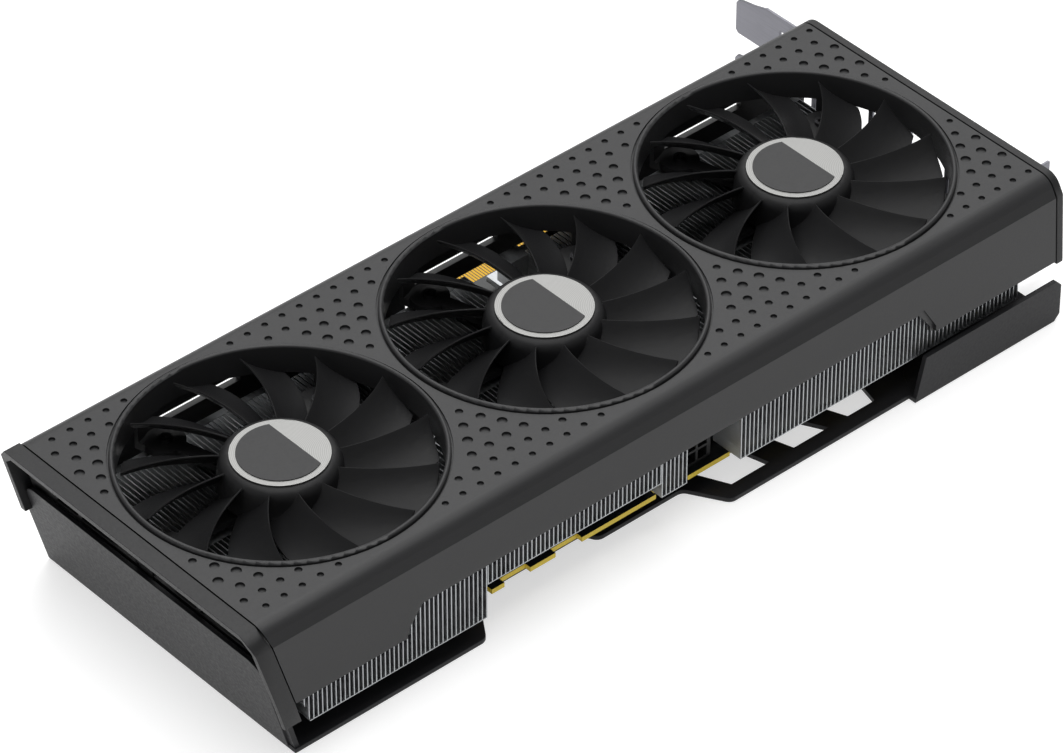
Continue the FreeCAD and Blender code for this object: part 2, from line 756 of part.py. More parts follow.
def mount(name, x, y, floor):
    """The spider under the rotor: a round plate, four arms ending in screw lugs, the bearing tube."""
    deck = (floor, f"{floor} + mount_thickness")
    plate = round_bar(f"{name}_mount_plate", x, y, ("mount_foot", floor), "mount_radius")
    tube = round_bar(f"{name}_mount_tube", x, y, ("mount_foot", "bearing_top"), "tube_radius")
    solids = [plate, tube]
    holes = [round_bar(f"{name}_mount_bore", x, y, (floor, "60"), "bearing_radius")]
    for arm in range(ARMS):
        solids.append(radial_block(f"{name}_mount_arm_{arm}", x, y, arm, ("0", "arm_reach"), "arm_width", deck))
        lug_x, lug_y = lug_place(x, y, arm)
        solids.append(round_bar(f"{name}_mount_lug_{arm}", lug_x, lug_y, deck, "lug_radius"))
        holes.append(round_bar(f"{name}_mount_hole_{arm}", lug_x, lug_y, ("30", "60"), "screw_hole"))
    return cut(f"{name}_mount_solid", fuse(f"{name}_mount_blank", *solids), *holes)


# ---------------------------------------------------------------- cooler


def rectangle(across, up):
    """The corners of a rectangle between two (low, high) pairs."""
    return [(across[0], up[0]), (across[1], up[0]), (across[1], up[1]), (across[0], up[1])]


def body_sketch(body, name, start, outlines, circles=()):
    """A sketch in a body, on the plane across the card at start, with outlines and round holes."""
    sketch = body.newObject("Sketcher::SketchObject", name)
    plane = [thing for thing in body.Origin.OriginFeatures if thing.Role == "YZ_Plane"]
    sketch.AttachmentSupport = [(plane[0], "")]
    sketch.MapMode = "FlatFace"
    sketch.setExpression("AttachmentOffset.Base.z", cells(start))
    for corners in outlines:
        first = sketch.GeometryCount
        points = [Vector(number(across), number(up), 0) for across, up in corners]
        for begin, end in zip(points, points[1:] + points[:1]):
            sketch.addGeometry(Part.LineSegment(begin, end), False)
        for edge, corner in enumerate(corners):
            after = first + (edge + 1) % len(points)
            sketch.addConstraint(Sketcher.Constraint("Coincident", first + edge, 2, after, 1))
            bind_point(sketch, first + edge, 1, corner)
    for across, up, radius in circles:
        hole = sketch.GeometryCount
        centre = Vector(number(across), number(up), 0)
        sketch.addGeometry(Part.Circle(centre, Vector(0, 0, 1), number(radius)), False)
        bind_point(sketch, hole, 3, (across, up))
        index = sketch.addConstraint(Sketcher.Constraint("Radius", hole, number(radius)))
        sketch.setExpression(f"Constraints[{index}]", cells(radius))
    return sketch


def bind_point(sketch, geometry, point, place):
    """Hold one point of a sketch at two formulas."""
    for kind, formula in zip(("DistanceX", "DistanceY"), place):
        index = sketch.addConstraint(Sketcher.Constraint(kind, geometry, point, number(formula)))
        sketch.setExpression(f"Constraints[{index}]", cells(formula))


def pad(body, name, sketch, length):
    """Pad a body's sketch along X."""
    feature = body.newObject("PartDesign::Pad", name)
    feature.Profile = sketch
    feature.setExpression("Length", cells(length))
    body.Tip = feature
    return feature


def fin_stack(name, start, end, corners, holes, flanges):
    """A stack of thin fins along X, joined by the narrow flanges folded from their edges."""
    body = doc.addObject("PartDesign::Body", f"{name}_body")
    spine = flanges[0]
    spine_sketch = body_sketch(body, f"{name}_spine_sketch", start, [spine])
    pad(body, f"{name}_spine", spine_sketch, f"({end}) - ({start})")
    fin_sketch = body_sketch(body, f"{name}_fin_sketch", start, [corners], holes)
    fin = pad(body, f"{name}_fin", fin_sketch, "fin_thickness")
    doc.recompute()
    pattern = body.newObject("PartDesign::LinearPattern", f"{name}_pattern")
    pattern.Originals = [fin]
    axis = [thing for thing in body.Origin.OriginFeatures if thing.Role == "X_Axis"]
    pattern.Direction = (axis[0], [""])
    pattern.setExpression("Length", cells(f"({end}) - ({start}) - fin_thickness"))
    pattern.Occurrences = int(number(f"({end}) - ({start})") / number("fin_pitch")) + 1
    body.Tip = pattern
    doc.recompute()
    edges = body_sketch(body, f"{name}_flange_sketch", start, flanges[1:])
    pad(body, f"{name}_flanges", edges, f"({end}) - ({start})")
    return body


def flange_strip(side, level):
    """The outline of one folded flange: inwards from a side, under or over a level."""
    inwards = "- 2.2" if number(side) > 0 else "+ 2.2"
    down = "- 0.3" if number(level) > 30 else "+ 0.3"
    low, high = sorted((side, f"{side} {inwards}"), key=number)
    foot, top = sorted((level, f"{level} {down}"), key=number)
    return rectangle((low, high), (foot, top))


def pipe_rows():
    """The formulas for the heat pipes' places across the card."""
    return [f"pipe_first_y + {row} * pipe_spacing" for row in range(PIPES)]


def cooler():
    """Three fin stacks, the heat pipes that tie them together, and the plates on the chips."""
    middle = rectangle(("fan_row_y - 1.5", "fan_row_y + 1.5"), ("fin_top - 0.3", "fin_top"))
    holes = [(row, "pipe_high", "pipe_radius + 0.05") for row in pipe_rows()]
    sides = ("fin_slot_side", "fin_socket_side")
    tops = [flange_strip(side, "fin_top") for side in sides]
    gap = "0.2"

    def plain(foot):
        return rectangle(sides, (foot, "fin_top"))

    def feet(foot):
        return [flange_strip(side, foot) for side in sides]

    tail = fin_stack(
        "tail_fins", "tail_fin_start", "tail_fin_end", plain("tail_fin_foot"), holes,
        [middle] + tops + feet("tail_fin_foot"),
    )
    node("tail_fin_stack", cut("tail_fins_cut", tail, beyond_tail("tail_fins_end", "-tail_fin_recess")))
    centre = fin_stack(
        "centre_fins", "centre_fin_start", f"tail_fin_start - {gap}", plain("centre_fin_foot"), holes,
        [middle] + tops + feet("centre_fin_foot"),
    )
    node("centre_fin_stack", centre)
    step = fin_stack(
        "step_fins", "step_fin_start", f"centre_fin_start - {gap}", plain("step_fin_foot"), holes,
        [middle] + tops + feet("step_fin_foot"),
    )
    node("step_fin_stack", step)
    lipped = [
        ("fin_slot_side", "fin_top"),
        ("fin_slot_side", "bracket_fin_foot"),
        ("board_socket_side", "bracket_fin_foot"),
        ("board_socket_side", "bracket_fin_lip"),
        ("fin_socket_side", "bracket_fin_lip"),
        ("fin_socket_side", "fin_top"),
    ]
    bracket = fin_stack(
        "bracket_fins", "bracket_fin_start", "bracket_fin_end", lipped, [],
        [middle] + tops + [
            flange_strip("fin_socket_side", "bracket_fin_lip"),
            flange_strip("fin_slot_side", "bracket_fin_foot"),
        ],
    )
    tab = box("bracket_fin_tab", ("bracket_fin_end - 0.3", "bracket_fin_end + 6.9"),
              ("fin_slot_side - 1", "fin_slot_side + 4.4"), ("fin_top - 9", "fin_top"))
    node("bracket_fin_stack", fuse("bracket_fin_solid", bracket, tab))
    node("heat_pipes", shape("heat_pipe_bundle", Part.makeCompound([heat_pipe(row) for row in pipe_rows()])))

    half = "cold_plate_size / 2"
    plate_x, plate_y = (f"chip_x - {half}", f"chip_x + {half}"), (f"chip_y - {half}", f"chip_y + {half}")
    plate = box("cold_plate_slab", plate_x, plate_y, ("plate_foot", "plate_foot + cold_plate_thickness"))
    sockets = [
        round_bar(f"cold_plate_hole_{n}", sx, sy, ("0", "plate_foot + 2"), "screw_hole")
        for n, (sx, sy) in enumerate(retention_places())
    ]
    node("cold_plate", cut("cold_plate_solid", plate, *sockets))
    frame = box("memory_frame", ("chip_x - 52", "chip_x + 27"), ("chip_y - 48", "chip_y + 46"),
                ("plate_foot", "plate_foot + 2"))
    window = box(
        "memory_window",
        (f"chip_x - {half} - 0.4", "chip_x + 40"),
        (f"chip_y - {half} - 0.4", f"chip_y + {half} + 0.4"),
        ("0", "20"),
    )
    node("memory_plate", cut("memory_plate_solid", frame, window))


def heat_pipe(row):
    """One pipe: high through the tail fins, then down by two bends and flat over the chip's plate."""
    y, high, low = number(row), number("pipe_high"), number("pipe_low")
    bend = 12.0
    route = [
        Vector(number("tail_fin_end") - 2.5, y, high),
        Vector(-8.0, y, high),
        Vector(-19.0, y, low),
        Vector(number("chip_x") - 42.0, y, low),
    ]
    edges, start = [], route[0]
    for before, corner, after in zip(route, route[1:], route[2:]):
        inward, outward = (before - corner).normalize(), (after - corner).normalize()
        turn = math.pi - inward.getAngle(outward)
        reach = bend * math.tan(turn / 2)
        first, last = corner + inward * reach, corner + outward * reach
        centre_way = (inward + outward).normalize()
        crown = corner + centre_way * (bend / math.cos(turn / 2) - bend)
        edges += [Part.makeLine(start, first), Part.Arc(first, crown, last).toShape()]
        start = last
    edges.append(Part.makeLine(start, route[-1]))
    path = Part.Wire(edges)
    mouth = Part.Wire(Part.makeCircle(number("pipe_radius"), route[0], Vector(-1, 0, 0)))
    return path.makePipeShell([mouth], True, False)


# ---------------------------------------------------------------- board


def retention_places():
    """Where the four screws beside the chip go."""
    return [(f"chip_x + {dx}", f"chip_y + {dy}") for dx in ("28.5", "-28.5") for dy in ("28.5", "-28.5")]


def board_places():
    """Where the screws that hold the backplate to the board go."""
    slot_row = [("-126", "-42"), ("-4", "-42"), ("58", "-42")]
    socket_row = [("-126", "49"), ("-96", "49"), ("20", "44"), ("58", "44")]
    return slot_row + socket_row


def blocks(name, places, size, z):
    """A group of equal rectangular components, centred on places."""
    solids = []
    for n, (x, y) in enumerate(places):
        across = (f"({x}) - {size[0] / 2}", f"({x}) + {size[0] / 2}")
        along = (f"({y}) - {size[1] / 2}", f"({y}) + {size[1] / 2}")
        solids.append(box(f"{name}_{n}", across, along, z))
    return group(f"{name}_group", *solids)


def board():
    """The circuit board with its edge connector, and everything soldered to it."""
    top = "board_foot + board_thickness"
    layer = ("board_foot", top)
    slab = box("board_slab", ("board_start", "board_end"), ("board_slot_side", "board_socket_side"), layer)
    finger_foot = "board_slot_side - edge_depth"
    corners = [
        ("edge_start", "board_slot_side + 0.5"),
        ("edge_start", f"{finger_foot} + 0.6"),
        ("edge_start + 0.6", finger_foot),
        ("edge_start + edge_length - 0.6", finger_foot),
        ("edge_start + edge_length", f"{finger_foot} + 0.6"),
        ("edge_start + edge_length", "board_slot_side + 0.5"),
    ]
    connector = prism("board_connector", "XY", corners, *layer)
    tabs = [
        box(f"board_tab_{n}", span, ("board_socket_side - 0.5", "board_tab_side"), layer)
        for n, span in enumerate((("58.5", "63.1"), ("39.8", "49.1"), ("2.5", "30.1"), ("-25.5", "-9.6")))
    ]
    key = box(
        "board_key",
        ("edge_start + key_offset", "edge_start + key_offset + key_width"),
        (f"{finger_foot} - 1", "board_slot_side - 0.6"),
        ("0", "20"),
    )
    places = board_places() + retention_places() + ear_screw_places()
    holes = [
        round_bar(f"board_hole_{n}", x, y, ("0", "20"), "screw_hole + 0.05")
        for n, (x, y) in enumerate(places)
    ]
    blank = fuse("board_blank", slab, connector, *tabs)
    node("circuit_board", cut("board_solid", blank, key, *holes))

    fingers = []
    pitch, width = 1.0, 0.7
    for side, level in (("top", top), ("foot", "board_foot - 0.05")):
        for n in range(82):
            x = f"edge_start + 1.5 + {n * pitch}"
            if n * pitch < number("key_offset") - 2.4 or n * pitch > number("key_offset + key_width") - 1.2:
                high = f"{level} + 0.05"
                span = (f"{finger_foot} + 1.2", "board_slot_side - 1")
                fingers.append(box(f"finger_{side}_{n}", (x, f"{x} + {width}"), span, (level, high)))
    node("edge_contacts", group("finger_group", *fingers))

    node("chip_package", blocks("package", [("chip_x", "chip_y")], (40, 40), (top, f"{top} + 1.4")))
    node("chip_die", blocks("die", [("chip_x", "chip_y")], (22, 24), (f"{top} + 1.4", "plate_foot")))
    ring = [("chip_x - 42", f"chip_y + {dy}") for dy in (-17, 0, 17)]
    ring += [(f"chip_x + {dx}", f"chip_y {dy}") for dx in (-12, 10) for dy in ("- 41", "+ 39.5")]
    node("memory_chips", blocks("memory", ring, (12, 11), (top, f"{top} + 1.2")))
    memory_pads = blocks("memory_pad", ring, (11, 10), (f"{top} + 1.2", "plate_foot"))

    rows = [-34 + 11 * n for n in range(7)]
    drivers = [("7.5", str(y)) for y in rows]
    node("power_stages", blocks("driver", drivers, (6, 8), (top, f"{top} + 1")))
    driver_pads = blocks("driver_pad", drivers, (6, 8), (f"{top} + 1", "plate_foot"))
    node("thermal_pads", group("thermal_pad_group", memory_pads, driver_pads))
    node("power_stage_block", box("driver_block", ("2", "13"), ("-39", "37"), ("plate_foot", "step_fin_foot")))
    node("inductors", blocks("inductor", [("22", str(y)) for y in rows], (9.6, 10), (top, f"{top} + 7")))
    cans = [
        round_bar(f"capacitor_{n}", str(x), str(y), (top, f"{top} + 9"), "3.1")
        for n, (x, y) in enumerate([(x, y) for x in (34, 43) for y in rows[:6]])
    ]
    node("capacitors", group("capacitor_group", *cans))
    node("power_socket", power_socket(top))
    ports = [display_socket(f"port_{n}", y, DISPLAY_PORT_WIDTH) for n, y in enumerate(DISPLAY_PORTS)]
    node("display_port_sockets", group("port_group", *ports))
    node("video_socket", display_socket("video", VIDEO_PORT, VIDEO_PORT_WIDTH))


def power_socket(top):
    """The eight-way power socket: a block with two rows of square cells open to the +Y side."""
    face, back = "board_tab_side - 2.6", "board_tab_side - 15.8"
    span = ("socket_start", "socket_start + socket_width")
    block = box("power_block", span, (back, face), (top, f"{top} + 9.4"))
    latch = box("power_latch", ("socket_start + 6.4", "socket_start + 12.4"), (back, face),
                (f"{top} + 9.4", f"{top} + 10.8"))
    cells_cut = []
    for column in range(4):
        for row in range(2):
            x = f"socket_start + 1.4 + {4.2 * column}"
            z = f"{top} + {1.0 + 4.2 * row}"
            cell = (f"{back} + 2.5", f"{face} + 1")
            cells_cut.append(box(f"power_cell_{column}_{row}", (x, f"{x} + 3.4"), cell, (z, f"{z} + 3.4")))
    return cut("power_solid", fuse("power_blank", block, latch), *cells_cut)


def display_socket(name, y, width):
    """A display socket: a metal shell open at the bracket, with a contact tongue inside."""
    top = "board_foot + board_thickness"
    face, back = "bracket_face - 0.3", "bracket_face + 14"
    outer = box(f"{name}_shell", (face, back), (f"{y - width / 2}", f"{y + width / 2}"), (top, f"{top} + 5.8"))
    hollow = box(f"{name}_hollow", (f"{face} - 1", f"{back} - 2"), (f"{y - width / 2 + 0.5}",
                 f"{y + width / 2 - 0.5}"), (f"{top} + 0.5", f"{top} + 5.3"))
    tongue = box(f"{name}_tongue", (f"{face} + 1.5", f"{back} - 1"), (f"{y - width / 2 + 2}",
                 f"{y + width / 2 - 2}"), (f"{top} + 2.3", f"{top} + 3.5"))
    return fuse(f"{name}_solid", cut(f"{name}_open", outer, hollow), tongue)


# ---------------------------------------------------------------- bracket and backplate


def ear_screw_places():
    """Where the two screws that hold the bracket's ears to the board go."""
    return [("bracket_face + 6.0", "-43"), ("bracket_face + 6.0", "44")]


def bracket():
    """The two-slot metal bracket: plate, two tongues, the bent screw tab, and two ears on the board."""
    inner = "bracket_face + bracket_thickness"
    sheet_x = ("bracket_face", inner)
    high = "bracket_low + bracket_width"
    solids = [box("bracket_plate", sheet_x, ("bracket_foot", "tab_top"), ("bracket_low", high))]
    for n, low in enumerate(("bracket_low + tongue_foot", "bracket_low + tongue_foot + slot_pitch")):
        top = f"{low} + tongue_width"
        corners = [
            ("bracket_foot + 0.5", low),
            ("tongue_tip + 1", low),
            ("tongue_tip", f"{low} + 1"),
            ("tongue_tip", f"{top} - 1.4"),
            ("tongue_tip + 1", top),
            ("bracket_foot - 5", f"{top} + 1.2"),
            ("bracket_foot", f"{top} + 2.6"),
            ("bracket_foot + 0.5", f"{top} + 2.6"),
        ]
        solids.append(prism(f"bracket_tongue_{n}", "YZ", corners, *sheet_x))
    tab = ("bracket_face - tab_length", "bracket_face + bracket_thickness")
    tab_y = ("tab_top - bracket_thickness", "tab_top")
    solids.append(box("bracket_tab", tab, tab_y, ("bracket_low", "tab_end")))
    top = "board_foot + board_thickness"
    for n, (x, y) in enumerate(ear_screw_places()):
        span = (f"{y} - 3.8", f"{y} + 3.8")
        solids.append(box(f"bracket_ear_{n}", ("bracket_face", f"{x} + 3.4"), span, (top, f"{top} + 0.9")))
    cuts = [
        box(f"bracket_notch_{n}", ("bracket_face - tab_length - 1", "bracket_face - 4.2"), ("40", "60"),
            (f"{z} - notch_width / 2", f"{z} + notch_width / 2"))
        for n, z in enumerate(("bracket_low + 7.4", "bracket_low + 7.4 + slot_pitch"))
    ]
    windows = [(y, DISPLAY_PORT_WIDTH) for y in DISPLAY_PORTS] + [(VIDEO_PORT, VIDEO_PORT_WIDTH)]
    for n, (y, width) in enumerate(windows):
        span = (f"{y - width / 2 - 0.25}", f"{y + width / 2 + 0.25}")
        cuts.append(box(f"bracket_window_{n}", ("-150", "-140"), span, (f"{top} - 0.3", f"{top} + 6.1")))
    for n in range(11):
        low = f"-50.2 + {8 * n}"
        cuts.append(box(f"bracket_vent_{n}", ("-150", "-140"), (low, f"{low} + 6.2"),
                        ("bracket_low + 12.6", "bracket_low + 34")))
    for n, (x, y) in enumerate(ear_screw_places()):
        cuts.append(round_bar(f"bracket_ear_hole_{n}", x, y, ("0", "20"), "screw_hole + 0.6"))
    node("io_bracket", cut("bracket_solid", fuse("bracket_blank", *solids), *cuts))
    ear_top = f"{top} + 0.9"
    screws = [
        screw(f"bracket_screw_{n}", x, y, (ear_top, f"{ear_top} + 1.6"),
              ("board_foot - 1", ear_top), "2.6", "1.02")
        for n, (x, y) in enumerate(ear_screw_places())
    ]
    node("bracket_screws", group("bracket_screw_group", *screws))


def backplate():
    """The folded backplate: stepped outline, three windows, the raised tail plate, the side flange."""
    layer = ("0", "backplate_thickness")
    corners = [
        ("tail_foot", "end_plate_start"),
        ("tail_foot", "64.9"),
        ("72.4", "64.9"),
        ("66", "55.6"),
        ("62", "49.5"),
        ("24", "49.5"),
        ("21.5", "54.1"),
        ("-9.6", "54.1"),
        ("-17.1", "backplate_rail"),
        ("board_start", "backplate_rail"),
        ("board_start", "backplate_slot_side"),
        ("66", "backplate_slot_side"),
        ("72", "end_plate_start"),
    ]
    plate = prism("backplate_sheet", "XY", corners, *layer)

    def stepped(edge):
        point = edge.Vertexes[0].Point
        return upright(edge) and -30 < point.x < 100 and point.y > 40

    plate = rounded("backplate_outline_round", plate, "3", stepped)
    windows = []
    for n, (near, far) in enumerate(((("-16", "-33"), ("-21.5", "-36")), (("-42", "-53"), ("-45.5", "-59")),
                                     (("-62", "-80"), ("-66.5", "-77")))):
        corners = [(near[0], "50.5"), (far[0], "61.8"), (far[1], "61.8"), (near[1], "50.5")]
        windows.append(prism(f"backplate_window_{n}", "XY", corners, "-1", "5"))
    outer = [
        ("end_plate_start", "0"),
        ("end_plate_end", "0"),
        ("end_plate_end", "end_plate_top"),
        ("end_plate_start + 3.2", "end_plate_top"),
        ("end_plate_start + 2.9", "end_plate_waist + 1.6"),
        ("end_plate_start", "end_plate_waist"),
    ]
    slab = prism("end_plate_slab", "YZ", outer, "100", "170")

    def top_corner(edge):
        return lengthwise(edge) and abs(edge.Vertexes[0].Point.z - number("end_plate_top")) < 1e-6

    slab = rounded("end_plate_round", slab, "end_plate_corner", top_corner)
    trims = (beyond_tail("end_plate_outer", "0"), before_tail("end_plate_inner", "-1.55"))
    upright_plate = cut("end_plate", slab, *trims)
    strip = box("end_strip_slab", ("100", "170"), ("end_plate_end - 1", "64.4"), ("0", "end_plate_top - 6"))
    strip_trims = (beyond_tail("end_strip_outer", "-0.7"), before_tail("end_strip_inner", "-2.2"))
    strip = cut("end_strip", strip, *strip_trims)
    end = "bracket_face + bracket_thickness + 0.2"
    side = [
        ("side_cut_start + 0.9", "0"),
        (f"{end} + flange_corner", "0"),
        (end, "flange_corner"),
        (end, "flange_height - flange_corner"),
        (f"{end} + flange_corner", "flange_height"),
        ("side_cut_start - 2.8", "flange_height"),
    ]
    flange = prism("flange_wall", "XZ", side, "socket_wall_foot - backplate_thickness", "socket_wall_foot")
    fold = box("flange_fold", (f"{end} + flange_corner", "side_cut_start + 0.9"),
               ("backplate_rail - 1", "socket_wall_foot"), layer)
    bores = []
    for n, (x, y) in enumerate(board_places()):
        bores.append(round_bar(f"backplate_bore_{n}", x, y, ("-1", "5"), "screw_hole"))
        bores.append(round_bar(f"backplate_recess_{n}", x, y, ("-1", "0.9"), "2.2"))
    blank = fuse("backplate_blank", plate, upright_plate, strip, flange, fold)
    node("backplate", cut("backplate_solid", blank, *windows, *bores))

    standoffs = [
        round_bar(f"standoff_{n}", x, y, ("backplate_thickness", "board_foot"), "2.6", "screw_hole")
        for n, (x, y) in enumerate(board_places())
    ]
    node("board_standoffs", group("standoff_group", *standoffs))
    top = "board_foot + board_thickness"
    screws = [
        screw(f"backplate_screw_{n}", x, y, ("0.1", "0.9"), ("0.9", top))
        for n, (x, y) in enumerate(board_places())
    ]
    node("backplate_screws", group("backplate_screw_group", *screws))
    legs = []
    for turn in (45, -45):
        leg = doc.addObject("Part::Box", f"retention_leg_{turn % 90}_{turn > 0}")
        leg.Length, leg.Width = 88, 7
        leg.setExpression("Height", "1.2")
        spin = Rotation(Vector(0, 0, 1), turn)
        corner = spin.multVec(Vector(-44, -3.5, 0))
        leg.Placement = Placement(Vector(), spin)
        legs.append(put(leg, f"chip_x + ({corner.x:.4f})", f"chip_y + ({corner.y:.4f})", "board_foot - 2.4"))
    holes = [
        round_bar(f"retention_hole_{n}", x, y, ("0", "10"), "screw_hole")
        for n, (x, y) in enumerate(retention_places())
    ]
    node("retention_bracket", cut("retention_solid", fuse("retention_cross", *legs), *holes))
    low = "board_foot - 2.4"
    screws = [
        screw(f"retention_screw_{n}", x, y, (f"{low} - 1.6", low), (low, "plate_foot + 2"))
        for n, (x, y) in enumerate(retention_places())
    ]
    node("retention_screws", group("retention_screw_group", *screws))


def fan_screws():
    """The screws that hold the three fan mounts to the cover's ears."""
    deck = "mount_foot + mount_thickness"
    screws = []
    for name in FANS:
        for arm in range(ARMS):
            x, y = lug_place(fan_x(name), "fan_row_y", arm)
            head = (f"{deck} + mount_thickness", f"{deck} + mount_thickness + 1")
            shank = (f"{deck} - 2.2", f"{deck} + mount_thickness")
            screws.append(screw(f"fan_screw_{name}_{arm}", x, y, head, shank))
    return group("fan_screw_group", *screws)


# ---------------------------------------------------------------- build


def check(thing):
    """Stop at a failed object or a bad solid."""
    assert "Invalid" not in thing.State and "Error" not in thing.State, thing.Label
    form = thing.Shape
    assert not form.isNull() and form.isValid() and form.Volume > 0, thing.Label


node("shroud_cover", cover())
node("tail_band", tail_band())
node("bracket_end_cap", end_cap())
node("tail_vent_frame", tail_frame())
for fan_name in FANS:
    fan(fan_name)
node("fan_screws", fan_screws())
cooler()
board()
bracket()
backplate()

doc.recompute()
for thing in parts.values():
    check(thing)
os.makedirs("parts", exist_ok=True)
for name, thing in parts.items():
    thing.Shape.exportStep(f"parts/{name}.step")
    print(name, len(thing.Shape.Solids), round(thing.Shape.Volume, 1))
whole = FreeCAD.BoundBox()
for thing in parts.values():
    whole.add(thing.Shape.BoundBox)
print(len(parts), "nodes", whole)
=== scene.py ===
import json
import math

import bpy
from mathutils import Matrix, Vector


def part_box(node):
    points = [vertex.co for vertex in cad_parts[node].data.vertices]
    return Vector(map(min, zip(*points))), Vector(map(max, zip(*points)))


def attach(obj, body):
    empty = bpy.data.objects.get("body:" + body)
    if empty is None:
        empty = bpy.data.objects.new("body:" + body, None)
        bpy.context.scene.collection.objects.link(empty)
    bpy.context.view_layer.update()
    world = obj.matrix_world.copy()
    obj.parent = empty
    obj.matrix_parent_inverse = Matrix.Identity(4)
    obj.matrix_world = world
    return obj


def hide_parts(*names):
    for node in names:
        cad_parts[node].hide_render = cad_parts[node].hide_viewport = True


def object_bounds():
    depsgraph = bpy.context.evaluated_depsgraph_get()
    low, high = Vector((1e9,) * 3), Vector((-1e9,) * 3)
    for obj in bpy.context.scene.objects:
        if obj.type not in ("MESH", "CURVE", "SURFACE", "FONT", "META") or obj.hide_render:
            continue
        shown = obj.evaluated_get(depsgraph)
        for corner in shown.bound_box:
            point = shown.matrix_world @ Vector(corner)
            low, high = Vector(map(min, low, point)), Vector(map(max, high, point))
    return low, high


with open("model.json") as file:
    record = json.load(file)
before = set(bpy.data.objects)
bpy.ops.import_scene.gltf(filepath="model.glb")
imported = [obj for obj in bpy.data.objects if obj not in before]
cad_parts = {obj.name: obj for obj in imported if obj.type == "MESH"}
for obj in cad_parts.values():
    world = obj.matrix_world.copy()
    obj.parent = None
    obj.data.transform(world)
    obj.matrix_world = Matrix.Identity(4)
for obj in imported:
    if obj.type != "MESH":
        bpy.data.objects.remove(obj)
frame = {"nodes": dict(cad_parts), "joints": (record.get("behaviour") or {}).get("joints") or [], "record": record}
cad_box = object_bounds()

MM = 0.001
SCENE = bpy.context.scene

LENS = 212.45
VIEWER = (138.48, 39.32)
VIEW_DISTANCE = 1716.7
AIM = (28.8, 34.36, -0.2)

SOFTBOXES = {
    "top_softbox": (0, 88, 1.4, 20),
    "back_softbox": (318, 40, 1.0, 5.6),
    "tail_softbox": (85, 12, 0.8, 1.2),
}
SOFTBOX_DISTANCE = 1.3
SURROUND = 0.42
FLOOR_GLOW = 0.58
FLOOR_GAP = 0.2

CLOUD_SIZE = 24
WAVE_TURN = 20

CARD_LOW, CARD_HIGH = Vector(cad_box[0]), Vector(cad_box[1])
CARD_CENTRE = (CARD_LOW + CARD_HIGH) / 2
FANS = [joint["name"].split("_")[1] for joint in frame["joints"]]
BODY_OF = {name: body for body, names in frame["record"]["behaviour"]["bodies"].items() for name in names}


# ------------------------------------------------------------------ camera and light


def look_from(azimuth, elevation):
    """The direction from the card towards a viewer, as a unit vector."""
    around, up = math.radians(azimuth), math.radians(elevation)
    return Vector((math.sin(around) * math.cos(up), -math.cos(around) * math.cos(up), math.sin(up)))


def add_camera():
    """A long lens, looking down on the fans from the tail's socket-side corner."""
    data = bpy.data.cameras.new("camera")
    data.sensor_width = 36
    data.lens = LENS
    data.clip_end = 20
    camera = bpy.data.objects.new("camera", data)
    SCENE.collection.objects.link(camera)
    target = Vector((CARD_CENTRE.x, CARD_CENTRE.y, CARD_HIGH.z)) + Vector(AIM) * MM
    away = look_from(*VIEWER)
    camera.location = target + away * VIEW_DISTANCE * MM
    camera.rotation_euler = away.to_track_quat("Z", "Y").to_euler()
    SCENE.camera = camera


def add_light(name, azimuth, elevation, size, watts):
    """A square softbox, size metres across, that faces the card."""
    data = bpy.data.lights.new(name, "AREA")
    data.size = size
    data.energy = watts
    light = bpy.data.objects.new(name, data)
    SCENE.collection.objects.link(light)
    away = look_from(azimuth, elevation)
    light.location = CARD_CENTRE + away * SOFTBOX_DISTANCE
    light.rotation_euler = away.to_track_quat("Z", "Y").to_euler()


def add_studio():
    """An even pale surround and three softboxes."""
    world = bpy.data.worlds.new("studio")
    world.use_nodes = True
    world.node_tree.nodes["Background"].inputs["Color"].default_value = (1, 1, 1, 1)
    world.node_tree.nodes["Background"].inputs["Strength"].default_value = SURROUND
    SCENE.world = world
    SCENE.view_settings.view_transform = "Standard"
    for name, placing in SOFTBOXES.items():
        add_light(name, *placing)


def add_floor():
    """A wide sheet of pale, faintly lit acrylic, as on a light table, on which the card casts little shade."""
    bpy.ops.object.select_all(action="DESELECT")
    bpy.ops.mesh.primitive_plane_add(size=12, location=(0, 0, CARD_LOW.z - FLOOR_GAP * MM))
    floor = bpy.context.object
    floor.name = "floor"
    acrylic = finish("pale acrylic", "c4c4c4", 0.9, grain=2, depth=0, tone=0.01, gloss=0.02)
    shader = acrylic.node_tree.nodes["Principled BSDF"]
    shader.inputs["Emission Color"].default_value = colour("ffffff")
    shader.inputs["Emission Strength"].default_value = FLOOR_GLOW
    floor.data.materials.append(acrylic)


# ------------------------------------------------------------------ materials


def colour(code):
    """An sRGB hex colour as linear RGBA."""
    parts = [int(code[n:n + 2], 16) / 255 for n in (0, 2, 4)]
    return [part / 12.92 if part <= 0.04045 else ((part + 0.055) / 1.055) ** 2.4 for part in parts] + [1.0]


def node(tree, kind, links=None, **settings):
    """Adds a node: settings are its properties, or its sockets' values where it has no such property."""
    made = tree.nodes.new(kind)
    for name, value in settings.items():
        if hasattr(made, name):
            setattr(made, name, value)
        else:
            made.inputs[name.replace("_", " ")].default_value = value
    for socket, source in (links or {}).items():
        tree.links.new(source, made.inputs[socket])
    return made


def blank(name):
    """An empty node material and its shader."""
    material = bpy.data.materials.new(name)
    material.use_nodes = True
    return material, material.node_tree, material.node_tree.nodes["Principled BSDF"]


